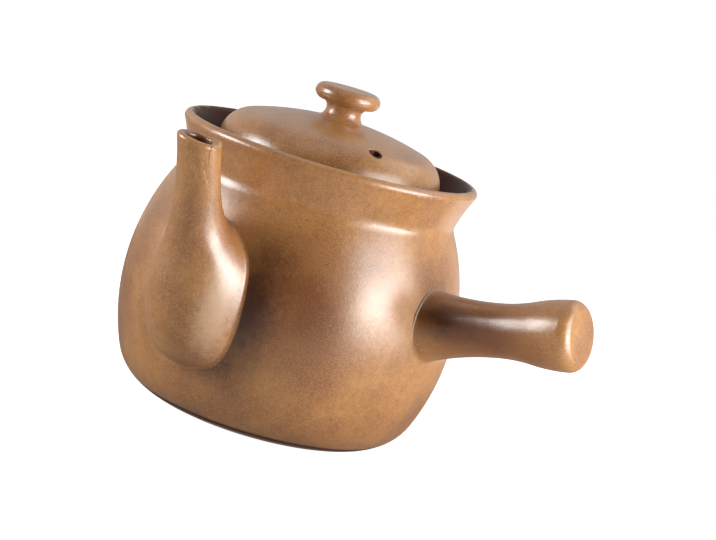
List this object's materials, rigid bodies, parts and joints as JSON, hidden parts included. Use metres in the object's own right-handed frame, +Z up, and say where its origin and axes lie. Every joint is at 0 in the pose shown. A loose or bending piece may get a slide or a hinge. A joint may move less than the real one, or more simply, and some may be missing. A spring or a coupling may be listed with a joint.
{
  "type": "herbal medicine pot",
  "caption": "Round clay pot with a flared collar, side spout, hollow raised side handle and a loose domed lid that lifts off.",
  "frame": {"origin": "centre of the flat base, on the pot's turning axis", "axes": "+Z up the pot's turning axis, +X towards the handle, -Y towards the spout"},
  "size_m": [0.245, 0.2044, 0.1687],
  "materials": {
    "body_clay": "satin, burnished brown clay outside and dark brown glaze inside",
    "lid_clay": "satin, burnished brown clay"
  },
  "bodies": {
    "pot": {"pot_body": "body_clay", "spout": "body_clay", "handle": "body_clay"},
    "lid": {"lid": "lid_clay", "lid_knob": "lid_clay"}
  },
  "joints": [
    {"name": "lid_lift", "type": "slide", "parent": "pot", "child": "lid", "axis": [0, 0, 1], "range_m": [0, 0.06]}
  ]
}
